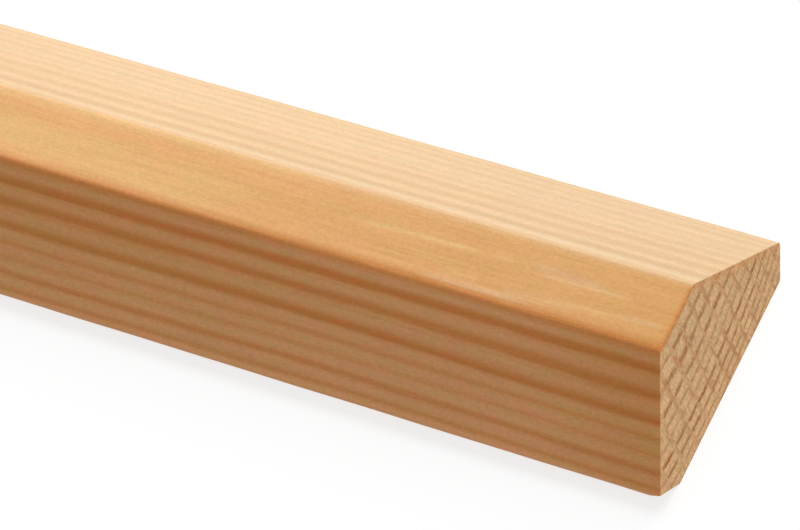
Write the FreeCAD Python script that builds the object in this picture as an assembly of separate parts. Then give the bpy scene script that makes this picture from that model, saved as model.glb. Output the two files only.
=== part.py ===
import FreeCAD, Part
import math
import os

# Triangular bead moulding: one machined stick of pine, the same section all along.
# The section is a right-angled triangle with three blunted corners. The right-angled corner
# has a wide chamfer, and each sharp tip is cut back to a narrow flat square to its leg.
# The stick lies on its widest face, the back, with the chamfer up.
# Frame: +X along the stick, +Y across the back towards the wide leg's tip, +Z up.
# The origin is at mid length, in the middle of the overall width, on the back face.

# Driving dimensions, in millimetres and degrees
LENGTH = 2400.0         # one stock length
TALL_LEG = 21.0         # across the leg on the -Y side, from the other leg's face to its tip flat
WIDE_LEG = 19.3         # across the leg on the +Y side, measured the same way
CORNER_CHAMFER = 5.2    # taken off each leg at the right-angled corner
WIDE_TIP_FLAT = 4.1     # thickness left at the wide leg's tip
BACK_ANGLE = 45.0       # between the back and the wide leg's face
ARRIS_RADIUS = 0.4      # easing of every long edge


def section_corners():
    """The sharp corners of the section, measured in from the faces of the two legs.

    The first number is the distance from the tall leg's face and the second the distance
    from the wide leg's face, so the right-angled corner would be at (0, 0). The back runs at
    its angle from the inner edge of the wide leg's flat, and sets the width of the tall leg's.
    """
    back_fall = TALL_LEG - WIDE_TIP_FLAT
    tall_tip_flat = WIDE_LEG - back_fall / math.tan(math.radians(BACK_ANGLE))
    return [
        (0.0, TALL_LEG),
        (0.0, CORNER_CHAMFER),
        (CORNER_CHAMFER, 0.0),
        (WIDE_LEG, 0.0),
        (WIDE_LEG, WIDE_TIP_FLAT),
        (tall_tip_flat, TALL_LEG),
    ]


def laid_on_its_back(corners):
    """The corners turned so that the back lies level at Z = 0, centred across the width."""
    turn = math.radians(BACK_ANGLE)
    across = FreeCAD.Vector(math.cos(turn), -math.sin(turn), 0)
    up = FreeCAD.Vector(-math.sin(turn), -math.cos(turn), 0)
    turned = [FreeCAD.Vector(a, b, 0) for a, b in corners]
    points = [FreeCAD.Vector(0, p.dot(across), p.dot(up)) for p in turned]
    # The outermost points are on the eased right-angled edges of the two tip flats. An
    # arris radius pulls each in by its corner's reach less the radius.
    tall_tip_edge, wide_tip_edge = points[0], points[3]
    eased = ARRIS_RADIUS * (math.cos(turn) + math.sin(turn) - 1)
    middle = ((tall_tip_edge.y + eased) + (wide_tip_edge.y - eased)) / 2
    back_level = points[-1].z
    shift = FreeCAD.Vector(0, -middle, -back_level)
    return [p + shift for p in points]


def eased_corner(before, corner, after, radius):
    """The start, middle and end of the arc that rounds one corner, tangent to both sides."""
    back = (before - corner).normalize()
    on = (after - corner).normalize()
    half_angle = back.getAngle(on) / 2
    setback = radius / math.tan(half_angle)
    inward = (back + on).normalize()
    centre = corner + inward * (radius / math.sin(half_angle))
    return corner + back * setback, centre - inward * radius, corner + on * setback


def section_face(points, radius):
    """The closed section: a straight side between corners and a tangent arc at each."""
    count = len(points)
    arcs = [
        eased_corner(points[i - 1], points[i], points[(i + 1) % count], radius)
        for i in range(count)
    ]
    edges = []
    for i, (start, middle, end) in enumerate(arcs):
        next_start = arcs[(i + 1) % count][0]
        edges.append(Part.Arc(start, middle, end).toShape())
        edges.append(Part.LineSegment(end, next_start).toShape())
    return Part.Face(Part.Wire(edges))


def triangular_bead():
    """The section run the full length, with both ends cut square."""
    face = section_face(laid_on_its_back(section_corners()), ARRIS_RADIUS)
    face.translate(FreeCAD.Vector(-LENGTH / 2, 0, 0))
    return face.extrude(FreeCAD.Vector(LENGTH, 0, 0))


os.makedirs("parts", exist_ok=True)
triangular_bead().exportStep("parts/triangular_bead.step")
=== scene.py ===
import math

import bpy
import numpy as np
from bpy.props import FloatProperty, FloatVectorProperty, PointerProperty
from bpy.types import Operator, Panel, PropertyGroup
from mathutils import Color, Matrix, Vector


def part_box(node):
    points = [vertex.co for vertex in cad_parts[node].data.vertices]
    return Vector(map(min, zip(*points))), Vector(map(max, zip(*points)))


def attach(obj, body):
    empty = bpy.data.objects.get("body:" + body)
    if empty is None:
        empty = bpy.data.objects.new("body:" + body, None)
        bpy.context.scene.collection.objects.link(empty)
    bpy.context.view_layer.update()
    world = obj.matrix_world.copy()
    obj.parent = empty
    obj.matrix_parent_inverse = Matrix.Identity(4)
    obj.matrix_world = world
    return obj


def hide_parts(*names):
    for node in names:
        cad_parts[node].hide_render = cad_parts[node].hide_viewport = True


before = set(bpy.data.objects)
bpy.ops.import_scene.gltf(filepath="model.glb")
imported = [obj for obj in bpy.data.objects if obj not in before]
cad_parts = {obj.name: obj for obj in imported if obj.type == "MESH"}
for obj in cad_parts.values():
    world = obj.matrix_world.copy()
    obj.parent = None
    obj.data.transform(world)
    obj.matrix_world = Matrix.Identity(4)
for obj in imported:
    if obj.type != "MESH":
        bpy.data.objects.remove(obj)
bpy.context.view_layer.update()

bl_info = {
    "name": "Triangular bead moulding",
    "version": (1, 0, 0),
    "blender": (4, 5, 0),
    "location": "3D View > Sidebar > Bead",
    "description": "A planed pine bead with sawn ends, its studio floor, lights and camera",
    "category": "Object",
}

NODE = "triangular_bead"
STICK_LOW, STICK_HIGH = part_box(NODE)
STICK_LENGTH = STICK_HIGH.x - STICK_LOW.x
MM = 0.001
SLANT = math.sqrt(0.5)

# The section's sides, in the order that its outline runs
TALL_LEG, CHAMFER, WIDE_LEG, WIDE_TIP, BACK, TALL_TIP = range(6)
SIDES = 6

# Painted light and shade in each side's colour, though all is one pine: from 0, honey, the shaded
# tall leg painted deeper, to 1, cream, the lit wide leg painted paler
SIDE_LIT_TONES = {TALL_LEG: 0.0, CHAMFER: 0.5, WIDE_LEG: 1.0, WIDE_TIP: 0.8, BACK: 0.5, TALL_TIP: 0.3}

# The dark line of each growth ring, from just above the chamfer down to the back: its depth
# under the chamfer in millimetres, how dark it is on the planed faces and on the sawn ends, and
# how far through the ring it starts
DARK_LINES = (
    (-1.60, 0.90, 0.76, 0.20),
    (0.20, 0.40, 0.54, 0.20),
    (1.70, 1.00, 0.75, 0.16),
    (3.50, 0.85, 0.76, 0.22),
    (5.34, 0.95, 0.86, 0.20),
    (6.66, 0.42, 0.56, 0.34),
    (7.76, 0.30, 0.40, 0.42),
    (9.12, 0.72, 0.94, 0.28),
    (10.37, 0.50, 0.84, 0.32),
    (11.44, 0.52, 0.60, 0.30),
    (12.32, 0.38, 0.60, 0.30),
    (13.40, 0.38, 0.55, 0.30),
    (14.40, 0.45, 0.60, 0.30),
    (15.40, 0.40, 0.55, 0.30),
    (16.40, 0.40, 0.55, 0.30),
)
DARKEST_AT = 0.64       # how far through its ring a dark line's middle lies
LINE_CORE = 0.03        # how far either side of that it stays at its darkest
SAWN_START = 0.34       # how far through the ring every dark line starts on the sawn ends
PITH_DISTANCE = 69.5    # from the chamfer up to the line that the rings curve round, in millimetres
RING_LEAN = 0.025       # how far the rings drop towards the wide leg, per millimetre across
LEAN_GAIN = 0.0069      # how much more they drop, per millimetre deeper

# The saw's strokes in the ends: their lean, the distance apart in the middle of the end and its
# change across, in millimetres, and the count there
SAW_LEAN = math.radians(-13.13)
SAW_PITCH = 2.191
SAW_SPREAD = 0.00872
SAW_START = 20.04

# Pale streaks in the chamfer near the end, in millimetres: from the end to their finish and
# start, across from the stick's middle there, and their width, then how yellow and how grey
PALE_STREAKS = (
    (23.5, 43.5, 1.42, 1.19, 0.25, 0.50, 0.00),
    (20.5, 23.8, 1.56, 1.50, 0.30, 0.22, 0.00),
    (4.5, 19.5, 1.07, 0.91, 0.14, 0.32, 0.20),
    (8.0, 20.0, 1.22, 1.80, 0.38, 0.00, 0.27),
    (0.3, 8.5, -0.78, -0.94, 0.20, 0.24, 0.26),
    (6.0, 14.5, -0.92, -1.28, 0.26, 0.20, 0.06),
    (16.0, 32.0, -2.25, -2.34, 0.20, 0.22, 0.34),
    (10.0, 23.0, -1.42, -1.72, 0.34, 0.00, 0.16),
    (23.0, 29.0, -1.38, -1.38, 0.30, 0.22, 0.00),
)

# Reddish flecks in the near end, in millimetres: across and up, then half their width and height
RED_FLECKS = (
    (6.8, 9.6, 0.40, 0.30),
    (-10.7, 3.8, 0.95, 0.14),
)

# How finely the stick is drawn: the points round its section and round each arris, then the loops
# round the worn edge of an end, and from there to the middle of the near end and of the far one
OUTLINE_POINTS = 284
ARC_POINTS = 6
RIM_LOOPS = 4
NEAR_END_LOOPS = 44
FAR_END_LOOPS = 22

# The gaps between the loops along the stick: beside an end, at their widest, and by what share
# each is wider than the one before it, from the near end and from the far one
FIRST_GAP = 0.15 * MM
WIDEST_GAP = 20 * MM
NEAR_GAIN = 0.045
FAR_GAIN = 0.09

SECTION_REACH = 10 * MM     # about how far the section's edges lie from its middle
MIDDLE_HEIGHT = 0.42        # where that middle is, as a share of the section's height
BREAK_TILT = 0.075          # how much deeper the break is, per metre in from the tall leg

# Where the two lamps shine from, and how wide they look, in degrees
KEY_FROM = (0.15, 0.68, 0.72)
KEY_SPREAD = 50
END_FROM = (0.85, -0.25, 0.45)
END_SPREAD = 60

# How white the floor is to the light that it throws on the stick, and how white its paint and
# its glow are where the camera sees it
FLOOR_WHITE = 0.8
SEEN_WHITE = 0.3
SEEN_GLOW = 0.75


def linear(red, green, blue):
    """A colour given in a picture's 0 to 255 numbers, as the amounts of light it stands for."""
    shares = np.array((red, green, blue)) / 255
    return tuple(np.where(shares > 0.04045, ((shares + 0.055) / 1.055) ** 2.4, shares / 12.92))


def smooth(value, low, high):
    """0 below low, 1 above high, and an even S between them."""
    share = np.clip((value - low) / (high - low), 0, 1)
    return share * share * (3 - 2 * share)


def length_property(name, description, millimetres):
    """A length setting whose default is given in millimetres."""
    return FloatProperty(
        name=name, description=description, default=millimetres * MM, precision=6, unit="LENGTH")


def colour_property(name, description, red, green, blue):
    """A colour setting whose default is given in a picture's 0 to 255 numbers."""
    return FloatVectorProperty(
        name=name, description=description, default=linear(red, green, blue),
        subtype="COLOR", size=3, min=0.0, max=1.0)


class BeadSizes(PropertyGroup):
    """The sizes of the stick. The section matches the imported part."""

    length: FloatProperty(
        name="Length", description="End to end", default=STICK_LENGTH, unit="LENGTH")
    tall_leg: length_property(
        "Tall leg", "From the wide leg's face to the tall leg's tip", 21.0)
    wide_leg: length_property(
        "Wide leg", "From the tall leg's face to the wide leg's tip", 19.3)
    corner_chamfer: length_property(
        "Chamfer", "Taken off each leg at the right-angled corner", 5.2)
    wide_tip_flat: length_property(
        "Wide tip", "Thickness left at the wide leg's tip", 4.1)
    arris_radius: length_property(
        "Arris", "Radius that every long edge is eased to", 0.4)
    end_arris: length_property(
        "End arris", "Radius worn on the edges of the sawn ends", 0.10)
    raised_grain: length_property(
        "Raised grain", "How far the earlywood lies below the latewood", 0.018)
    saw_depth: length_property(
        "Saw marks", "Depth of the saw's strokes in the ends", 0.05)
    break_depth: length_property(
        "Broken edge", "Depth of the break in the near end's lowest edge", 0.47)
    break_length: length_property(
        "Length of the break", "How far the break runs along the stick", 1.75)


class PineFinish(PropertyGroup):
    """The colours and sheen of the wood."""

    # One pine: the honey colours of the shaded tall leg are painted shade, the cream ones of the lit
    # wide leg painted light
    honey_fresh: colour_property(
        "Honey, ring start", "First wood of each ring on the tall leg", 229, 166, 113)
    honey_early: colour_property(
        "Honey, earlywood", "Earlywood on the tall leg", 228, 162, 102)
    honey_late: colour_property(
        "Honey, latewood", "Latewood on the tall leg", 211, 130, 58)
    cream_band: colour_property(
        "Cream, palest ring", "Earlywood of the ring beside the chamfer", 241, 208, 165)
    cream_fresh: colour_property(
        "Cream, ring start", "First wood of each ring on the wide leg", 240, 203, 160)
    cream_early: colour_property(
        "Cream, earlywood", "Earlywood on the wide leg", 237, 198, 152)
    cream_late: colour_property(
        "Cream, latewood", "Latewood on the wide leg", 227, 187, 139)
    chamfer_wood: colour_property(
        "Chamfer", "The latewood that the chamfer is cut in", 240, 181, 118)
    chamfer_gold: colour_property(
        "Chamfer, golden patches", "Yellower patches of the chamfer", 238, 189, 122)
    chamfer_edge: colour_property(
        "Chamfer, deep edge", "Orange wood by the chamfer's lower edge and its end", 214, 142, 78)
    # Also used for the painted highlight along the chamfer's upper arris
    chamfer_rim: colour_property(
        "Chamfer, upper edge", "Paler wood by the chamfer's upper edge", 247, 197, 136)
    arris_orange: colour_property(
        "Orange arris", "Along the chamfer's lower arris, on the tall leg", 232, 142, 66)
    yellow_streak: colour_property(
        "Yellow streak", "The yellower thin streaks in the chamfer", 255, 212, 146)
    grey_streak: colour_property(
        "Grey streak", "The greyer thin streaks in the chamfer", 236, 200, 162)
    end_early: colour_property(
        "End, earlywood", "Earlywood on the sawn ends", 219, 177, 130)
    end_late: colour_property(
        "End, latewood", "Latewood on the sawn ends", 162, 104, 50)
    end_saw: colour_property(
        "End, saw strokes", "The bruised lines that the saw left", 193, 139, 89)
    end_red: colour_property(
        "End, upper edge", "The thin reddish line under the chamfer", 211, 141, 82)
    browning: FloatVectorProperty(
        name="Browning",
        description="What the planed faces are multiplied by where they are brownest",
        default=(0.87, 0.815, 0.56), subtype="COLOR", size=3, min=0.0, max=1.0)
    end_orange: colour_property(
        "End, wide leg's edge", "The orange wood under the wide leg's face", 214, 152, 96)
    roughness: FloatProperty(
        name="Roughness", description="Of the planed faces", default=0.55, min=0.0, max=1.0,
        subtype="FACTOR")
    end_roughness: FloatProperty(
        name="End roughness", description="Of the sawn ends", default=0.88, min=0.0, max=1.0,
        subtype="FACTOR")


class StudioSetup(PropertyGroup):
    """The floor, the lights and the camera."""

    floor_width: FloatProperty(
        name="Floor", description="Side of the square floor", default=12.0, unit="LENGTH")
    key_strength: FloatProperty(
        name="Key light", description="Strength of the light over the wide leg", default=2.3)
    end_strength: FloatProperty(
        name="End light", description="Strength of the light on the near end", default=0.5)
    sky_strength: FloatProperty(
        name="Sky", description="Strength of the even white light from all round", default=0.30)
    camera_distance: length_property(
        "Camera distance", "How far back from the near end's lowest corner", 736.83)
    camera_right: length_property(
        "Camera right", "How far to the right of that corner, in the camera's view", -25.311)
    camera_up: length_property(
        "Camera up", "How far above that corner, in the camera's view", 22.897)
    camera_azimuth: FloatProperty(
        name="Azimuth", description="Turn about the upright, from straight at the tall leg",
        default=math.radians(40.04185), precision=5, unit="ROTATION")
    camera_elevation: FloatProperty(
        name="Elevation", description="How far the camera looks down",
        default=math.radians(21.90520), precision=5, unit="ROTATION")
    camera_roll: FloatProperty(
        name="Roll", description="Turn of the camera about the way it looks",
        default=math.radians(-1.00815), precision=5, unit="ROTATION")
    camera_lens: FloatProperty(
        name="Lens", description="Focal length in millimetres", default=341.29)


def sharp_corners(sizes):
    """The section's six sharp corners, lying on its back and centred across its width.

    A corner lies across by its distance from the tall leg's face less that from the wide leg's
    face, and down by their sum, both times the sine of 45 degrees. Returns across and up for
    each, and then for the right-angled corner that the chamfer takes off.
    """
    tall_tip_flat = sizes.wide_leg - (sizes.tall_leg - sizes.wide_tip_flat)
    from_legs = np.array([
        (0.0, sizes.tall_leg),
        (0.0, sizes.corner_chamfer),
        (sizes.corner_chamfer, 0.0),
        (sizes.wide_leg, 0.0),
        (sizes.wide_leg, sizes.wide_tip_flat),
        (tall_tip_flat, sizes.tall_leg),
    ])
    across = (from_legs[:, 0] - from_legs[:, 1]) * SLANT
    up = -(from_legs[:, 0] + from_legs[:, 1]) * SLANT
    eased = sizes.arris_radius * (math.sqrt(2) - 1)
    apex = (-((across[0] + eased) + (across[3] - eased)) / 2, -up[-1])
    return np.stack([across + apex[0], up + apex[1]], 1), apex


def section_outline(sizes):
    """The closed outline of the section, and what is known at each of its points.

    The sharp corners are joined by straight sides, and each corner is rounded: an arc's point
    is the arc's centre plus the radius times a direction that turns evenly from one side's
    outward direction to the next side's. Along a side the points are evenly spaced. The rows
    are across and up, the outward direction across and up, the side's number, and how far
    round an arris the point is.
    """
    corners, _ = sharp_corners(sizes)
    along = np.roll(corners, -1, 0) - corners
    lengths = np.linalg.norm(along, axis=1)
    along /= lengths[:, None]
    outward = np.stack([-along[:, 1], along[:, 0]], 1)
    before = np.roll(outward, 1, 0)
    meet = 1 + (before * outward).sum(1, keepdims=True)
    centres = corners - sizes.arris_radius * (before + outward) / meet
    on_sides = OUTLINE_POINTS - SIDES * ARC_POINTS
    side_points = np.round(lengths / lengths.sum() * on_sides).astype(int)
    rows = []
    for i in range(SIDES):
        start = math.atan2(before[i, 1], before[i, 0])
        finish = math.atan2(outward[i, 1], outward[i, 0])
        turn = (finish - start + math.pi) % (2 * math.pi) - math.pi
        share = np.linspace(0, 1, ARC_POINTS)
        angle = start + turn * share
        facing = np.stack([np.cos(angle), np.sin(angle)], 1)
        arc = centres[i] + sizes.arris_radius * facing
        round_arris = 1 - abs(2 * share - 1) / 2
        rows.append(np.column_stack([arc, facing, i - 0.5 + share / 2, round_arris]))
        share = np.linspace(0, 1, side_points[i] + 2)[1:-1, None]
        start = centres[i] + sizes.arris_radius * outward[i]
        finish = centres[(i + 1) % SIDES] + sizes.arris_radius * outward[i]
        side = start + (finish - start) * share
        ones = np.ones(len(side))
        rows.append(np.column_stack([side, np.outer(ones, outward[i]), ones * i, ones * 0]))
    return np.concatenate(rows).T


class Nodes:
    """Writes the nodes of one material or world, so that a formula reads as one line."""

    def __init__(self, owner):
        self.owner = owner
        owner.use_nodes = True
        self.tree = owner.node_tree
        self.tree.nodes.clear()

    def add(self, kind, inputs=(), **settings):
        made = self.tree.nodes.new(kind)
        for name, value in settings.items():
            setattr(made, name, value)
        for key, value in dict(inputs).items():
            self.feed(made.inputs[key], value)
        return made

    def feed(self, socket, value):
        if isinstance(value, Color):
            value = tuple(value)
        if isinstance(value, bpy.types.NodeSocket):
            self.tree.links.new(value, socket)
        elif isinstance(value, tuple) and len(value) == 3 and socket.type == "RGBA":
            socket.default_value = (*value, 1)
        elif isinstance(value, float) and socket.type == "VECTOR":
            socket.default_value = (value, value, value)
        else:
            socket.default_value = value

    def finish(self, shader):
        """Show the shader, and give back the material or world."""
        kind = "World" if isinstance(self.owner, bpy.types.World) else "Material"
        self.add("ShaderNodeOutput" + kind, inputs={"Surface": shader})
        return self.owner

    def math(self, operation, *values):
        made = self.add("ShaderNodeMath", operation=operation)
        for i, value in enumerate(values):
            self.feed(made.inputs[i], value)
        return made.outputs[0]

    def product(self, *values):
        total = values[0]
        for value in values[1:]:
            total = self.math("MULTIPLY", total, value)
        return total

    def total(self, *values):
        summed = values[0]
        for value in values[1:]:
            summed = self.math("ADD", summed, value)
        return summed

    def between(self, share, first, second):
        """The number that lies a share of the way from the first to the second."""
        return self.total(first, self.product(self.math("SUBTRACT", second, first), share))

    def swing(self, value, reach):
        """A 0 to 1 value as a swing about zero, from minus half the reach to plus half."""
        return self.math("MULTIPLY_ADD", value, reach, -reach / 2)

    def step(self, value, low, high, to_low=0.0, to_high=1.0):
        """An even S from one number, where the value is low, to another, where it is high."""
        made = self.add("ShaderNodeMapRange", interpolation_type="SMOOTHSTEP", inputs={
            "Value": value, "From Min": low, "From Max": high, "To Min": to_low, "To Max": to_high})
        return made.outputs[0]

    def window(self, value, rises, risen, falls, fallen):
        """An even S up from 0 to 1, and another one down again."""
        return self.product(
            self.step(value, rises, risen), self.step(value, falls, fallen, 1.0, 0.0))

    def blend(self, share, first, second, way="MIX"):
        made = self.add("ShaderNodeMix", data_type="RGBA", blend_type=way, clamp_factor=True)
        self.feed(made.inputs[0], share)
        self.feed(made.inputs[6], first)
        self.feed(made.inputs[7], second)
        return made.outputs[2]

    def vector(self, operation, *values, **named):
        made = self.add("ShaderNodeVectorMath", operation=operation, inputs={
            **dict(enumerate(values)), **named})
        return made.outputs["Value" if operation == "DOT_PRODUCT" else "Vector"]


class WoodNodes(Nodes):
    """The nodes of a wood, which know where on the stick they are, in millimetres."""

    def __init__(self, name):
        super().__init__(bpy.data.materials.new(name))
        self.place = self.add("ShaderNodeTexCoord").outputs["Object"]

    def attribute(self, name):
        return self.add("ShaderNodeAttribute", attribute_name=name).outputs["Fac"]

    def reach(self, direction, start):
        """How far along a direction past a start, which is given in metres."""
        run = self.vector("DOT_PRODUCT", self.place, tuple(part / MM for part in direction))
        return self.math("SUBTRACT", run, start / MM)

    def from_end(self):
        """How far from the nearer end."""
        from_middle = self.math("ABSOLUTE", self.reach((1, 0, 0), 0))
        return self.math("SUBTRACT", STICK_HIGH.x / MM, from_middle)

    def under_chamfer(self):
        return self.reach((0, 0, -1), -STICK_HIGH.z)

    def under_legs(self, apex):
        """How far in from the wide leg's face, and from the tall leg's face."""
        under_wide = self.reach((0, -SLANT, -SLANT), -(apex[0] + apex[1]) * SLANT)
        under_tall = self.reach((0, SLANT, -SLANT), (apex[0] - apex[1]) * SLANT)
        return under_wide, under_tall

    def noise(self, along, across, up=None, detail=2.0, roughness=0.5, seed=0.0, lean=0.0):
        """Noise whose grains are so long, wide and high, leaned about the stick's length."""
        grain = (along * MM, across * MM, (up or across) * MM)
        turned = self.add("ShaderNodeMapping", vector_type="TEXTURE", inputs={
            "Vector": self.place, "Rotation": (lean, 0.0, 0.0), "Scale": grain})
        made = self.add("ShaderNodeTexNoise", noise_dimensions="4D", inputs={
            "Vector": turned.outputs[0], "W": seed, "Scale": 1.0,
            "Detail": detail, "Roughness": roughness})
        return made.outputs["Fac"]

    def chance(self, first, second, seed=0.0):
        """A random share for each pair of whole numbers."""
        pair = self.add("ShaderNodeCombineXYZ", inputs={"X": first, "Y": second, "Z": seed})
        made = self.add("ShaderNodeTexWhiteNoise", noise_dimensions="3D", inputs={
            "Vector": pair.outputs[0]})
        return made.outputs["Value"]

    def scaled(self, colour, amount):
        return self.vector("SCALE", colour, Scale=amount)

    def shaded(self, colour, amount, veil):
        """The colour scaled as if it lay under a grey veil, which greys what it darkens."""
        veiled = self.scaled(self.vector("ADD", colour, veil), amount)
        return self.vector("SUBTRACT", veiled, veil)

    def tinted(self, colour, hue):
        """The colour turned greener by a share, or pinker where the share is below zero."""
        less = self.math("SUBTRACT", 1.0, hue)
        tint = self.add("ShaderNodeCombineColor", inputs={
            "Red": less, "Green": self.math("ADD", 1.0, hue), "Blue": less})
        return self.blend(1.0, colour, tint.outputs[0], way="MULTIPLY")

    def surface(self, colour, roughness, shine, height, relief):
        """The finished material, with a fine relief whose height is given in metres."""
        bump = self.add("ShaderNodeBump", inputs={
            "Strength": 1.0, "Distance": relief, "Height": height})
        shader = self.add("ShaderNodeBsdfPrincipled", inputs={
            "Base Color": colour, "Roughness": roughness, "Normal": bump.outputs[0],
            "Specular IOR Level": shine})
        return self.finish(shader.outputs[0])


def ring_nodes(nodes, wobble, gone_at, sawn=False):
    """How far through its ring a point is, the ring's number, and how dark it is there.

    A ring darkens by an even S from its start to the middle of its dark line, and fades again
    by another that ends at gone_at. Both are multiplied by the ring's own darkness.
    """
    count = nodes.math("ADD", nodes.attribute("growth"), wobble)
    through = nodes.math("FRACT", count)
    ring = nodes.math("FLOOR", count)
    middle = nodes.math("ADD", ring, 0.5)
    made = nodes.add("ShaderNodeValToRGB", inputs={
        "Fac": nodes.math("DIVIDE", middle, float(len(DARK_LINES)))})
    ramp = made.color_ramp
    ramp.interpolation = "CONSTANT"
    for i, (_, on_face, on_end, own_start) in enumerate(DARK_LINES):
        place = i / len(DARK_LINES)
        stop = ramp.elements[i] if i < 2 else ramp.elements.new(place)
        stop.position = place
        stop.color = (on_face, on_end, own_start, 1)
    own = nodes.add("ShaderNodeSeparateColor", inputs={"Color": made.outputs["Color"]})
    starts = SAWN_START if sawn else own.outputs["Blue"]
    line = nodes.window(
        through, starts, DARKEST_AT - LINE_CORE, DARKEST_AT + LINE_CORE, gone_at)
    return through, ring, nodes.product(line, own.outputs["Green" if sawn else "Red"])


def streak_nodes(nodes, from_end):
    """How yellow and how grey the chamfer's streaks are at a point.

    Each streak is a bell across a slanting line, with a wider haze. It fades in and out along
    the line, and a fine noise makes it ragged.
    """
    across = nodes.reach((0, 1, 0), 0)
    yellowest = greyest = 0.0
    for finish, start, at_finish, at_start, width, yellow, grey in PALE_STREAKS:
        slope = (at_start - at_finish) / (start - finish)
        line = nodes.math("MULTIPLY_ADD", from_end, slope, at_finish - slope * finish)
        off = nodes.math("DIVIDE", nodes.math("SUBTRACT", across, line), width)
        squared = nodes.product(off, off)
        bell = nodes.math("EXPONENT", nodes.product(squared, -1.0))
        haze = nodes.math("EXPONENT", nodes.product(squared, -0.15))
        fade = (start - finish) * 0.35
        along = nodes.window(from_end, finish, finish + fade * 0.6, start - fade, start)
        streak = nodes.product(nodes.math("MULTIPLY_ADD", haze, 0.3, bell), along)
        if yellow:
            yellowest = nodes.math("MAXIMUM", yellowest, nodes.product(streak, yellow))
        if grey:
            greyest = nodes.math("MAXIMUM", greyest, nodes.product(streak, grey))
    ragged = nodes.step(nodes.noise(1.3, 0.4, seed=17.0), 0.30, 0.62, 0.65, 1.10)
    return nodes.product(yellowest, ragged), nodes.product(greyest, ragged)


def chamfer_colour(nodes, finish, from_end, across):
    """One ring's latewood, golden in patches, paler by its upper edge, orange by its lower one."""
    patches = nodes.noise(30, 3.0, seed=11.0)
    brown = nodes.noise(7, 0.30, seed=13.0)
    # A golden patch on the lower half, and others further along
    low_half = nodes.window(across, -3.4, -2.0, 0.2, 2.0)
    stretch = nodes.window(from_end, 50, 64, 86, 100)
    patch = nodes.product(low_half, stretch, nodes.step(patches, 0.3, 0.6, 0.55, 1.0))
    further = nodes.product(nodes.step(patches, 0.48, 0.66), nodes.step(from_end, 95, 120))
    golden = nodes.math("MAXIMUM", patch, further)
    face = nodes.blend(golden, finish.chamfer_wood, finish.chamfer_gold)
    # The two long edges, which change along the stick
    rim = nodes.product(
        nodes.step(across, 2.2, 3.6, 0.0, 0.75), nodes.step(from_end, 15, 50, 0.35, 1.0))
    face = nodes.blend(rim, face, finish.chamfer_rim)
    low_edge = nodes.product(
        nodes.step(across, -3.6, -2.5, 0.85, 0.0), nodes.step(from_end, 30, 60, 1.0, 0.6))
    by_end = nodes.step(from_end, 0.0, 0.55, 0.50, 0.0)
    flecked = nodes.product(
        nodes.step(brown, 0.56, 0.74), nodes.step(patches, 0.62, 0.42), 0.18)
    for share in (low_edge, by_end, flecked):
        face = nodes.blend(share, face, finish.chamfer_edge)
    face = nodes.blend(nodes.step(from_end, 0.02, 0.30, 0.45, 0.0), face, finish.arris_orange)
    yellow, grey = streak_nodes(nodes, from_end)
    face = nodes.blend(yellow, face, finish.yellow_streak)
    return nodes.blend(grey, face, finish.grey_streak)


def browned_share(nodes, from_end, tone):
    """How brown the planed faces are at a point.

    All of them brown towards the ends. The tall leg is also browner in its upper part, and in
    waves 110 mm long that give way to a slow drift further along.
    """
    tall = nodes.step(tone, 0.0, 0.4, 1.0, 0.0)
    upper = nodes.step(nodes.under_chamfer(), 3.0, 9.0, 1.0, 0.0)
    near = nodes.step(from_end, 0.0, 18.0, 1.0, 0.0)
    wave_length, palest_at = 110, 27
    per_millimetre = 2 * math.pi / wave_length
    turn = nodes.math("MULTIPLY_ADD", from_end, per_millimetre, -palest_at * per_millimetre)
    wave = nodes.math("MULTIPLY_ADD", nodes.math("COSINE", turn), -0.5, 0.5)
    wave = nodes.product(wave, nodes.step(from_end, 20, 40))
    drift = nodes.step(nodes.noise(70, 40, seed=23.0), 0.35, 0.65)
    slow = nodes.between(nodes.step(from_end, 85, 110), wave, drift)
    on_tall = nodes.total(
        nodes.product(near, 0.5),
        nodes.product(slow, nodes.math("MULTIPLY_ADD", upper, 0.20, 0.13)),
        nodes.product(upper, 0.26))
    on_others = nodes.product(near, nodes.math("MULTIPLY_ADD", tone, -0.40, 0.45))
    return nodes.between(tall, on_others, on_tall)


def ringed_wood(nodes, finish, tone, from_end, streaks, wobble):
    """The colour of the rings, from honey on the tall leg to cream on the wide one: painted shade on
    the one, painted light on the other.

    Also returns how dark a ring's line is at a point.
    """
    through, _, late = ring_nodes(nodes, wobble, nodes.step(tone, 0.0, 1.0, 0.92, 1.0))
    # The wide leg's outer half is paler, with softer lines
    deep = nodes.under_chamfer()
    wide = nodes.step(tone, 0.6, 1.0)
    outer = nodes.product(nodes.step(deep, 2.4, 4.0), wide)
    softer = nodes.math("MULTIPLY_ADD", outer, -0.36, 1.0)
    late = nodes.product(late, nodes.step(streaks, 0.30, 0.70, 0.85, 1.15), softer)
    fresh = nodes.blend(tone, finish.honey_fresh, finish.cream_fresh)
    early = nodes.blend(tone, finish.honey_early, finish.cream_early)
    dark = nodes.blend(tone, finish.honey_late, finish.cream_late)
    wood = nodes.blend(nodes.step(through, 0.0, 0.50), fresh, early)
    # The third ring, which lies beside the chamfer, starts palest
    ring = nodes.math("FLOOR", nodes.math("ADD", nodes.attribute("growth"), 0.2))
    palest = nodes.product(
        nodes.math("COMPARE", ring, 2.0, 0.5), nodes.step(tone, 0.6, 0.9),
        nodes.step(through, 0.30, 0.60, 1.0, 0.0), nodes.step(from_end, 20, 90, 1.0, 0.35))
    wood = nodes.blend(palest, wood, finish.cream_band)
    outermost = nodes.product(nodes.step(deep, 4.4, 6.4), wide, 0.4)
    wood = nodes.blend(outermost, wood, finish.cream_band)
    return nodes.blend(late, wood, dark), late


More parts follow.
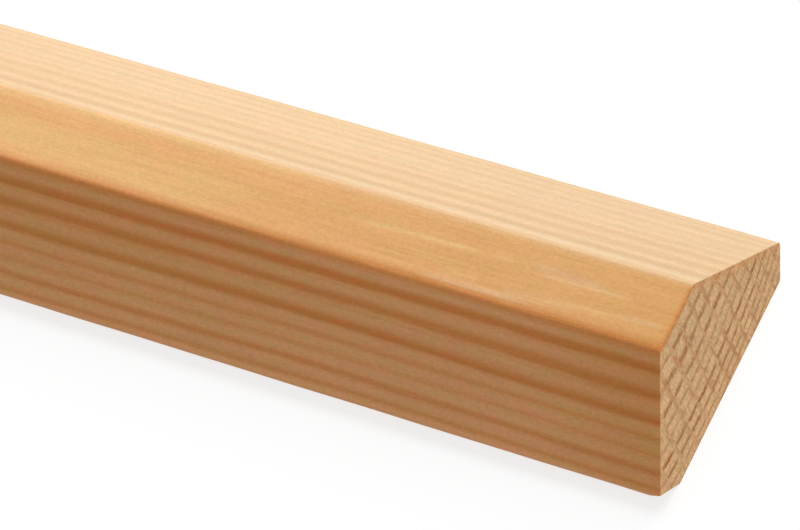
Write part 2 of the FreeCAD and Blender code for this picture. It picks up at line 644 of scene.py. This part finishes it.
def ridged(nodes, finish, wood, from_end, under_wide, under_tall):
    """The wood with a painted highlight as a pale line along the chamfer's upper arris, and an
    orange line on its lower.
    """
    # Painted highlight along the chamfer's upper arris
    upper = nodes.product(
        nodes.window(under_tall, 4.80, 5.05, 5.15, 5.50),
        nodes.step(under_wide, 0.4, 0.9, 0.85, 0.0), nodes.step(from_end, 25, 60, 0.45, 1.0))
    lower = nodes.product(
        nodes.window(under_wide, 4.95, 5.20, 5.45, 6.20),
        nodes.step(under_tall, 0.4, 0.9, 0.65, 0.0))
    wood = nodes.blend(upper, wood, finish.chamfer_rim)
    return nodes.blend(lower, wood, finish.arris_orange)


def planed_pine(finish, apex):
    """Planed pine: growth rings with soft dark lines, fibres, flecks and mottling."""
    nodes = WoodNodes("planed_pine")
    chamfer = nodes.attribute("chamfer")
    tone = nodes.attribute("tone")
    from_end = nodes.from_end()
    under_wide, under_tall = nodes.under_legs(apex)
    flecks = nodes.noise(0.50, 0.20, roughness=0.6)
    mottle = nodes.noise(2.4, 0.6, seed=2.0)
    fibres = nodes.noise(12, 0.22, detail=3.0, seed=3.0)
    streaks = nodes.noise(60, 0.8, seed=5.0)
    clouds = nodes.noise(14, 2.4, detail=3.0, seed=7.0)
    wobble = nodes.total(
        nodes.swing(fibres, 0.11), nodes.swing(clouds, 0.20), nodes.swing(mottle, 0.08))
    wood, late = ringed_wood(nodes, finish, tone, from_end, streaks, wobble)
    on_chamfer = chamfer_colour(nodes, finish, from_end, nodes.reach((0, 1, 0), apex[0]))
    wood = nodes.blend(chamfer, wood, on_chamfer)
    wood = ridged(nodes, finish, wood, from_end, under_wide, under_tall)
    brownest = nodes.blend(1.0, wood, finish.browning, way="MULTIPLY")
    wood = nodes.blend(browned_share(nodes, from_end, tone), wood, brownest)

    def by_chamfer(on_legs, on_chamfer):
        """A strength that differs between the two legs and the chamfer."""
        return nodes.step(chamfer, 0.0, 1.0, on_legs, on_chamfer)

    # Shades of the same wood: lighter and darker grains, then painted shade that darkens all but the
    # tall leg by the ends, and painted light from the floor that lightens the tall leg's lowest edge
    shade = nodes.total(
        1.0,
        nodes.product(
            nodes.swing(flecks, 0.44), by_chamfer(1.0, 0.57), nodes.step(tone, 0.5, 1.0, 1.0, 0.72)),
        nodes.product(nodes.swing(fibres, 0.18), by_chamfer(0.9, 1.1)),
        nodes.product(nodes.swing(mottle, 0.10), by_chamfer(1.0, 0.5)),
        nodes.swing(streaks, 0.10),
        nodes.product(nodes.swing(clouds, 0.10), by_chamfer(0.7, 1.0)),
        # Painted shade: all but the tall leg darker by the ends
        nodes.product(nodes.step(from_end, 0.0, 90.0, -0.05, 0.03), nodes.step(tone, 0.0, 0.5)),
        # Painted light thrown up by the floor onto the tall leg's lowest edge
        nodes.product(
            nodes.step(under_wide, 19.8, 20.5, 0.0, 0.10),
            nodes.step(under_tall, 0.2, 0.8, 1.0, 0.0)))
    blotches = nodes.noise(3.0, 0.9, seed=19.0)
    bands = nodes.noise(28, 1.3, seed=29.0)
    hue = nodes.total(
        nodes.product(nodes.swing(blotches, 0.21), nodes.step(tone, 0.0, 0.5, 1.0, 0.5)),
        nodes.product(nodes.swing(bands, 0.12), nodes.step(tone, 0.0, 0.5, 1.0, 0.3)))
    wood = nodes.tinted(nodes.shaded(wood, shade, nodes.product(chamfer, 0.245)), hue)
    rough = nodes.math("MULTIPLY_ADD", late, -0.10, finish.roughness + 0.04)
    height = nodes.total(
        nodes.product(flecks, 0.5), nodes.product(fibres, 0.5), nodes.product(late, 0.4))
    return nodes.surface(wood, rough, 0.35, height, 0.010 * MM)


def saw_mark(nodes, ring, strip, within, crumb):
    """How strong a saw's stroke is: it darkens towards the next strip and ends soon after.

    Each ring wears it away in its own measure.
    """
    stroke = nodes.math(
        "MAXIMUM", nodes.step(within, 0.72, 0.98), nodes.step(within, 0.0, 0.16, 1.0, 0.0))
    uneven = nodes.total(nodes.chance(ring, strip, 7.0), nodes.swing(crumb, 1.8))
    return nodes.product(stroke, nodes.step(uneven, 0.0, 1.0, 0.22, 1.15))


def torn_dash(nodes, ring, strip, within, crumb):
    """How strong the dash is that a ring is torn out in, in each strip, past the saw's stroke."""
    slid = nodes.math("ADD", within, nodes.swing(nodes.chance(ring, strip, 9.0), 0.16))
    return nodes.product(
        nodes.step(slid, 0.0, 0.11, 0.15, 1.0), nodes.step(slid, 0.66, 1.0, 1.0, 0.15),
        nodes.step(nodes.chance(ring, strip, 1.0), 0.0, 1.0, 0.78, 1.02),
        nodes.step(crumb, 0.28, 0.50, 0.80, 1.05))


def red_flecked(nodes, wood, red):
    """The wood with the near end's few reddish flecks, each a bell about its own place."""
    near_end = nodes.step(nodes.reach((1, 0, 0), 0), -1.0, 1.0)
    for across, up, half_width, half_height in RED_FLECKS:
        aside = nodes.math("DIVIDE", nodes.reach((0, 1, 0), across * MM), half_width)
        above = nodes.math("DIVIDE", nodes.reach((0, 0, 1), up * MM), half_height)
        off = nodes.math("MULTIPLY_ADD", aside, aside, nodes.product(above, above))
        bell = nodes.math("EXPONENT", nodes.product(off, -1.0))
        wood = nodes.blend(nodes.product(bell, near_end, 0.8), wood, red)
    return wood


def sawn_end(finish, apex):
    """Sawn end grain: torn dashes of latewood between the saw's strokes, with open fibre ends."""
    nodes = WoodNodes("sawn_end")
    under_wide, under_tall = nodes.under_legs(apex)
    grit = nodes.noise(0.22, 0.22)
    crumb = nodes.noise(0.45, 0.45, detail=3.0, roughness=0.6, seed=2.0)
    torn = nodes.noise(0.8, 0.20, up=0.8, detail=1.0, seed=4.0, lean=SAW_LEAN)
    patch = nodes.noise(1.6, 1.6, seed=5.0)
    stroke = nodes.total(
        nodes.attribute("saw_stroke"), nodes.swing(patch, 0.36), nodes.swing(crumb, 0.28))
    within = nodes.math("FRACT", stroke)
    strip = nodes.math("FLOOR", stroke)
    # The rings jump a little from strip to strip
    jump = nodes.swing(nodes.chance(strip, 3.0), 0.26)
    wobble = nodes.total(nodes.swing(patch, 0.36), nodes.swing(crumb, 0.22), jump)
    _, ring, late = ring_nodes(nodes, wobble, 0.86, sawn=True)
    # The strokes are fainter towards the tall leg's tip
    mark = nodes.product(
        saw_mark(nodes, ring, strip, within, crumb), nodes.step(under_wide, 9.0, 15.0, 1.0, 0.62))
    dash = torn_dash(nodes, ring, strip, within, crumb)
    light = nodes.scaled(finish.end_early, nodes.total(
        1.0, nodes.swing(nodes.chance(ring, strip, 4.0), 0.09), nodes.swing(patch, 0.14)))
    wood = nodes.blend(nodes.product(mark, 0.86), light, finish.end_saw)
    wood = nodes.blend(nodes.product(late, dash), wood, finish.end_late)
    # Orange by the wide leg's face, clean by the tall leg's, and a thin red line by the chamfer
    wood = nodes.blend(nodes.step(under_wide, 0.2, 1.4, 0.50, 0.0), wood, finish.end_orange)
    wood = nodes.blend(nodes.step(under_tall, 0.1, 1.0, 0.50, 0.0), wood, light)
    by_chamfer = nodes.step(nodes.under_chamfer(), 0.20, 0.72, 0.9, 0.0)
    wood = nodes.blend(by_chamfer, wood, finish.end_red)
    wood = red_flecked(nodes, wood, finish.end_red)
    pores = nodes.step(nodes.noise(0.30, 0.30, detail=0.0, seed=9.0), 0.70, 0.82, 0.0, 0.22)
    grains = nodes.total(
        1.03, nodes.swing(grit, 0.46), nodes.swing(crumb, 0.34), nodes.swing(torn, 0.53))
    shade = nodes.math("SUBTRACT", grains, pores)
    hue = nodes.swing(nodes.noise(0.7, 0.7, seed=21.0), 0.14)
    wood = nodes.tinted(nodes.shaded(wood, shade, 0.19), hue)
    height = nodes.math("SUBTRACT", nodes.product(grit, 0.6), nodes.product(mark, 0.5))
    return nodes.surface(wood, finish.end_roughness, 0.25, height, 0.03 * MM)


def growth_at(places, apex):
    """Growth rings counted from above the chamfer into the stick, at places in metres.

    The rings are shallow bowls about a pith line far above the chamfer: a point's layer is its
    depth under the chamfer, plus its distance across squared over twice the pith's distance,
    plus a lean that grows with the depth, less how far the rings have sunk there. They sink
    and rise in slow waves along the stick, some of them on one side only. The layer is then
    read against the depths of the dark lines.
    """
    x, y, z = places / MM
    deep = STICK_HIGH.z / MM - z
    across = y - apex[0] / MM
    layer = deep + across ** 2 / (2 * PITH_DISTANCE) + (RING_LEAN + LEAN_GAIN * deep) * across
    from_end = STICK_HIGH.x / MM - x
    tall = smooth(across, 6, -4)

    def about(depth, reach):
        """A bell about a layer's depth."""
        return np.exp(-((layer - depth) / reach) ** 2)

    # On the tall leg's side the rings wave, apart from the one beside the chamfer
    wave = 0.125 * np.cos(from_end * 2 * math.pi / 83) * np.exp(-from_end / 300)
    sunk = tall * (1 - about(1.7, 1.1)) * wave
    sunk = sunk + tall * about(1.7, 1.1) * 0.2 * np.tanh((from_end - 42) / 50)
    sunk = sunk + tall * about(0.1, 0.6) * (0.15 - 0.45 * np.exp(-from_end / 30))
    # Two rings lie otherwise on the wide leg's side
    sunk = sunk + about(3.4, 0.6) * (0.10 - 0.25 * tall)
    sunk = sunk + (1 - tall) * (0.22 * about(1.7, 1.1) - 0.16 * np.tanh(from_end / 80))
    # A slow wave of all the rings, past the near end
    sunk = sunk + 0.45 * np.sin(from_end * 2 * math.pi / 1100) * smooth(from_end, 60, 500)
    depths = [line[0] for line in DARK_LINES]
    return np.interp(layer - sunk, depths, np.arange(len(depths)) + DARKEST_AT)


def saw_stroke_at(places):
    """The saw's strokes counted across an end, at places in metres.

    The count is the distance across the strokes over their pitch. The distance has a part
    that grows with its square, so that the strokes crowd towards the wide leg.
    """
    x, y, z = places / MM
    distance = y * math.cos(SAW_LEAN) + z * math.sin(SAW_LEAN)
    return (distance + SAW_SPREAD * distance ** 2) / SAW_PITCH + SAW_START


def spaced_from_end(gain):
    """Distances from an end, whose gaps start at the first one and grow by gain up to the widest."""
    count = math.log(WIDEST_GAP / FIRST_GAP) / gain
    steps = np.arange(1, int(count) + 1)
    return FIRST_GAP / gain * (np.exp(gain * steps) - 1)


def end_shares(loops):
    """The shares of the section that an end's loops have, from just inside its rim to a dot."""
    outermost, dot, crowding = 0.985, 0.020, 1.3
    return outermost - (outermost - dot) * np.linspace(0, 1, loops) ** crowding


def stations(sizes):
    """Where each loop of the stick stands along it, and its share of the full section.

    The loops start as a dot in the middle of the far end, grow to the full section, run along
    the stick, and shrink to a dot again on the near end. They crowd towards both rims, which
    are rounded by a quarter circle.
    """
    half = sizes.length / 2
    turn = np.linspace(0, math.pi / 2, RIM_LOOPS)
    rim_share = 1 - sizes.end_arris * (1 - np.sin(turn)) / SECTION_REACH
    rim_x = half - sizes.end_arris * (1 - np.cos(turn))
    near = half - sizes.end_arris - spaced_from_end(NEAR_GAIN)
    far = -half + sizes.end_arris + spaced_from_end(FAR_GAIN)
    between = np.linspace(far[-1], near[-1], int((near[-1] - far[-1]) / WIDEST_GAP) + 2)[1:-1]
    along = np.concatenate([far, between, near[::-1]])
    x = np.concatenate([
        np.full(FAR_END_LOOPS, -half), -rim_x, along, rim_x[::-1], np.full(NEAR_END_LOOPS, half)])
    share = np.concatenate([
        end_shares(FAR_END_LOOPS)[::-1], rim_share, np.ones(len(along)), rim_share[::-1],
        end_shares(NEAR_END_LOOPS)])
    return x, share


def bake_places(outline, on_end, points, quads, fans):
    """Where each corner of each face lies on the map that a bake is made through.

    The sides are unrolled: along by the loop's number, so that the near end gets the most of
    the map, and up by the distance round the section. The two ends lie side by side below.
    """
    margin, sides_from, sides_high = 0.004, 0.215, 0.780
    end_wide, far_left, near_left, flattened = 0.480, 0.010, 0.505, 0.9
    count, loops = outline.shape[1], len(on_end)
    gaps = np.linalg.norm(np.roll(outline[:2], -1, 1) - outline[:2], axis=0)
    round_share = np.concatenate([[0], np.cumsum(gaps)]) / gaps.sum()
    first, last = np.flatnonzero(~on_end)[[0, -1]]
    along = np.clip((np.arange(loops) - first + 1) / (last - first + 2), 0, 1)
    j, i = np.meshgrid(np.arange(loops - 1), np.arange(count), indexing="ij")
    u = np.stack([along[j], along[j], along[j + 1], along[j + 1]], -1)
    v = np.stack([round_share[i], round_share[i + 1], round_share[i + 1], round_share[i]], -1)
    side = np.stack([margin + (1 - 2 * margin) * u, sides_from + sides_high * v], -1)
    leftmost = outline[0].min()
    scale = end_wide / (outline[0].max() - leftmost)

    def flat(corners):
        spot = points[corners]
        left = np.where(spot[..., 0] > 0, near_left, far_left)
        beside = left + (spot[..., 1] - leftmost) * scale
        return np.stack([beside, margin + spot[..., 2] * scale * flattened], -1)

    ends = np.repeat(on_end[:-1] & on_end[1:], count)
    mapped = np.where(ends[:, None, None], flat(quads), side.reshape(-1, 4, 2))
    return np.concatenate([mapped.reshape(-1, 2), flat(fans).reshape(-1, 2)])


def stick_places(sizes, outline, apex, x, share):
    """The points of the stick before any relief: x, y and z, by loop and by place round it.

    A point is the middle of the section plus its loop's share of the outline. At the near end
    the outline's lowest edge is cut back to a plane that rises towards the end.
    """
    across, up = outline[:2]
    from_tall = ((across - apex[0]) + (apex[1] - up)) * SLANT
    from_wide = ((apex[1] - up) - (across - apex[0])) * SLANT
    depth = sizes.break_depth + BREAK_TILT * from_tall
    left = 1 - np.clip((sizes.length / 2 - x[:, None]) / sizes.break_length, 0, 1)
    past = np.clip(from_wide - (sizes.tall_leg - depth * left), 0, None) * (left > 0)
    middle = up.max() * MIDDLE_HEIGHT
    place = np.empty((3, len(x), len(across)))
    place[0] = x[:, None]
    place[1] = (across + past * SLANT) * share[:, None]
    place[2] = middle + (up + past * SLANT - middle) * share[:, None]
    return place


def planed_relief(sizes, x, side, arris, late):
    """How far the planed faces lie inside the plain section.

    The earlywood is pressed down, and the long edges are worn by the product of two sines.
    """
    station = x[:, None] / MM
    wear = 0.5 + 0.5 * np.sin(station * 0.31 + side * 2) * np.sin(station * 0.083 + side)
    return sizes.raised_grain * (1.05 - late) + arris * wear * 0.05 * MM


def sawn_relief(sizes, growth, stroke, late):
    """How deep an end is cut: the saw's strokes, worn by a sine of the ring, and the earlywood."""
    within = stroke % 1.0
    mark = np.maximum(smooth(within, 0.70, 0.98), 1 - smooth(within, 0.0, 0.17))
    worn = 0.55 + 0.45 * np.sin(growth * 2.6 + np.floor(stroke + 0.5) * 1.9)
    return sizes.saw_depth * mark * worn + 0.02 * MM * (1 - late)


def faces_between(loops, count):
    """Faces of four corners between the loops, and fans of triangles about the ends' middles."""
    j, i = np.meshgrid(np.arange(loops - 1), np.arange(count), indexing="ij")
    k = (i + 1) % count
    quads = np.stack([j * count + i, j * count + k, (j + 1) * count + k, (j + 1) * count + i], -1)
    ring = np.arange(count)
    following = (ring + 1) % count
    last = (loops - 1) * count
    far_fan = np.stack([np.full(count, loops * count), following, ring], -1)
    near_fan = np.stack([np.full(count, loops * count + 1), last + ring, last + following], -1)
    return quads.reshape(-1, 4), np.concatenate([far_fan, near_fan])


def hold_values(mesh, values):
    """Keep values at every point for the materials to read, with their mean in an end's middle."""
    for name, value in values.items():
        in_middles = [value[0].mean(), value[-1].mean()]
        held = mesh.attributes.new(name, "FLOAT", "POINT")
        held.data.foreach_set("value", np.concatenate([value.ravel(), in_middles]))


def make_stick_mesh(sizes):
    """The whole stick as one closed surface, whose relief goes inwards only."""
    outline = section_outline(sizes)
    _, up, out_across, out_up, side, arris = outline
    apex = sharp_corners(sizes)[1]
    x, share = stations(sizes)
    place = stick_places(sizes, outline, apex, x, share)
    loops, count = place.shape[1:]
    growth = growth_at(place, apex)
    stroke = saw_stroke_at(place)
    through = growth % 1.0
    late = smooth(through, 0.25, DARKEST_AT) * (1 - smooth(through, DARKEST_AT, 1.0))
    inward = planed_relief(sizes, x, side, arris, late) * (share[:, None] > 0.9999)
    place[1] -= inward * out_across
    place[2] -= inward * out_up
    half = sizes.length / 2
    on_end = np.abs(np.abs(x) - half) < 1e-7
    dig = sawn_relief(sizes, growth, stroke, late) * on_end[:, None]
    place[0] -= np.sign(x)[:, None] * dig
    middle = up.max() * MIDDLE_HEIGHT
    points = np.concatenate([place.reshape(3, -1).T, [(-half, 0, middle), (half, 0, middle)]])
    quads, fans = faces_between(loops, count)
    mesh = bpy.data.meshes.new("bead")
    mesh.from_pydata(points, [], quads.tolist() + fans.tolist())
    end_faces = np.repeat(on_end[:-1] & on_end[1:], count)
    slots = np.concatenate([end_faces.astype(int), np.ones(2 * count, int)])
    mesh.polygons.foreach_set("material_index", slots)
    mesh.polygons.foreach_set("use_smooth", np.ones(len(slots), bool))
    # Each point's lit tone: painted shade towards the tall leg, painted light towards the wide one
    tones = np.array([SIDE_LIT_TONES[number] for number in range(SIDES)])
    before = np.floor(side).astype(int) % SIDES
    share_on = side - np.floor(side)
    tone = tones[before] * (1 - share_on) + tones[(before + 1) % SIDES] * share_on
    chamfered = np.clip(1 - 2 * np.abs(side - CHAMFER), 0, 1)
    hold_values(mesh, {
        "growth": growth, "saw_stroke": stroke, "tone": np.tile(tone, (loops, 1)),
        "chamfer": np.tile(chamfered, (loops, 1)),
    })
    layer = mesh.uv_layers.new(name="OFBake")
    layer.uv.foreach_set("vector", bake_places(outline, on_end, points, quads, fans).ravel())
    mesh.validate()
    mesh.update()
    return mesh


def photo_view(sizes, studio):
    """The place and turn of a camera that sees the wide leg level and the tall leg upright.

    The view is set from the near end's lowest outer corner: so far right, up and back in the
    camera's own directions. The stick lies on its back, so the whole is turned by 45 degrees
    about the stick.
    """
    azimuth, elevation, roll = studio.camera_azimuth, studio.camera_elevation, studio.camera_roll
    level = math.cos(elevation)
    back = Vector((math.sin(azimuth) * level, -math.cos(azimuth) * level, math.sin(elevation)))
    right = Vector((math.cos(azimuth), math.sin(azimuth), 0))
    up = back.cross(right)
    across = right * math.cos(roll) + up * math.sin(roll)
    above = up * math.cos(roll) - right * math.sin(roll)
    place = across * studio.camera_right + above * studio.camera_up + back * studio.camera_distance
    turned = Matrix.Rotation(-math.pi / 4, 3, "X")
    apex = sharp_corners(sizes)[1]
    drop = sizes.tall_leg * SLANT
    start = Vector((sizes.length / 2, apex[0] - drop, apex[1] - drop))
    turn = Matrix((turned @ across, turned @ above, turned @ back)).transposed().to_4x4()
    return Matrix.Translation(start + turned @ place) @ turn


class BEAD_OT_make_stick(Operator):
    """Make the planed stick with its sawn ends"""

    bl_idname = "bead.make_stick"
    bl_label = "Make the stick"

    def execute(self, context):
        sizes, finish = context.scene.bead_sizes, context.scene.bead_finish
        apex = sharp_corners(sizes)[1]
        stick = bpy.data.objects.new("bead", make_stick_mesh(sizes))
        context.scene.collection.objects.link(stick)
        stick.data.materials.append(planed_pine(finish, apex))
        stick.data.materials.append(sawn_end(finish, apex))
        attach(stick, "root")
        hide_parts(NODE)
        return {"FINISHED"}


def add_sun(scene, name, direction, strength, spread):
    """A far lamp that shines from a direction, as soft as its spread in degrees."""
    lamp = bpy.data.lights.new(name, "SUN")
    lamp.energy = strength
    lamp.angle = math.radians(spread)
    held = bpy.data.objects.new(name, lamp)
    held.rotation_euler = Vector(direction).to_track_quat("Z", "Y").to_euler()
    scene.collection.objects.link(held)


def white_floor():
    """Matt white that looks nearly as bright as the backdrop, yet keeps the stick's shadow."""
    nodes = Nodes(bpy.data.materials.new("white_floor"))
    paint = nodes.add("ShaderNodeBsdfDiffuse", inputs={"Color": (FLOOR_WHITE,) * 3})
    seen_paint = nodes.add("ShaderNodeBsdfDiffuse", inputs={"Color": (SEEN_WHITE,) * 3})
    glow = nodes.add("ShaderNodeEmission", inputs={"Color": (1.0, 1.0, 1.0), "Strength": SEEN_GLOW})
    both = nodes.add("ShaderNodeAddShader", inputs={0: seen_paint.outputs[0], 1: glow.outputs[0]})
    path = nodes.add("ShaderNodeLightPath")
    seen = nodes.math("MAXIMUM", path.outputs["Is Camera Ray"], path.outputs["Is Glossy Ray"])
    seen = nodes.math("MAXIMUM", seen, path.outputs["Is Transmission Ray"])
    shown = nodes.add("ShaderNodeMixShader", inputs={
        0: seen, 1: paint.outputs[0], 2: both.outputs[0]})
    return nodes.finish(shown.outputs[0])


def even_sky(strength):
    """Even light from all round, and plain white where the camera looks past the floor."""
    nodes = Nodes(bpy.data.worlds.new("studio"))
    white = (1.0, 1.0, 1.0)
    even = nodes.add("ShaderNodeBackground", inputs={"Color": white, "Strength": strength})
    backdrop = nodes.add("ShaderNodeBackground", inputs={"Color": white, "Strength": 1.0})
    path = nodes.add("ShaderNodeLightPath")
    shown = nodes.add("ShaderNodeMixShader", inputs={
        0: path.outputs["Is Camera Ray"], 1: even.outputs[0], 2: backdrop.outputs[0]})
    return nodes.finish(shown.outputs[0])


class BEAD_OT_set_stage(Operator):
    """Set the white floor, the soft lights and the camera"""

    bl_idname = "bead.set_stage"
    bl_label = "Set the stage"

    def execute(self, context):
        scene, studio = context.scene, context.scene.bead_studio
        half = studio.floor_width / 2
        mesh = bpy.data.meshes.new("floor")
        corners = [(-half, -half, 0), (half, -half, 0), (half, half, 0), (-half, half, 0)]
        mesh.from_pydata(corners, [], [(0, 1, 2, 3)])
        mesh.materials.append(white_floor())
        floor = bpy.data.objects.new("floor", mesh)
        scene.collection.objects.link(floor)
        add_sun(scene, "key_light", KEY_FROM, studio.key_strength, KEY_SPREAD)
        add_sun(scene, "end_light", END_FROM, studio.end_strength, END_SPREAD)
        scene.world = even_sky(studio.sky_strength)
        view = bpy.data.objects.new("camera", bpy.data.cameras.new("camera"))
        view.matrix_world = photo_view(scene.bead_sizes, studio)
        view.data.lens = studio.camera_lens
        view.data.sensor_width = 36.0
        view.data.clip_start = 0.01
        view.data.clip_end = 100.0
        scene.collection.objects.link(view)
        scene.camera = view
        scene.view_settings.view_transform = "Standard"
        return {"FINISHED"}


class BEAD_PT_panel(Panel):
    """The bead's sizes, finish and stage"""

    bl_idname = "BEAD_PT_panel"
    bl_label = "Triangular bead"
    bl_space_type = "VIEW_3D"
    bl_region_type = "UI"
    bl_category = "Bead"

    def draw(self, context):
        scene = context.scene
        for held in (scene.bead_sizes, scene.bead_finish, scene.bead_studio):
            for name in held.__annotations__:
                self.layout.prop(held, name)
        self.layout.operator(BEAD_OT_make_stick.bl_idname)
        self.layout.operator(BEAD_OT_set_stage.bl_idname)


CLASSES = (BeadSizes, PineFinish, StudioSetup, BEAD_OT_make_stick, BEAD_OT_set_stage, BEAD_PT_panel)


def register():
    for cls in CLASSES:
        bpy.utils.register_class(cls)
    bpy.types.Scene.bead_sizes = PointerProperty(type=BeadSizes)
    bpy.types.Scene.bead_finish = PointerProperty(type=PineFinish)
    bpy.types.Scene.bead_studio = PointerProperty(type=StudioSetup)


def unregister():
    del bpy.types.Scene.bead_sizes, bpy.types.Scene.bead_finish, bpy.types.Scene.bead_studio
    for cls in reversed(CLASSES):
        bpy.utils.unregister_class(cls)


def main():
    register()
    bpy.ops.bead.make_stick()
    bpy.ops.bead.set_stage()


if __name__ == "__main__":
    main()
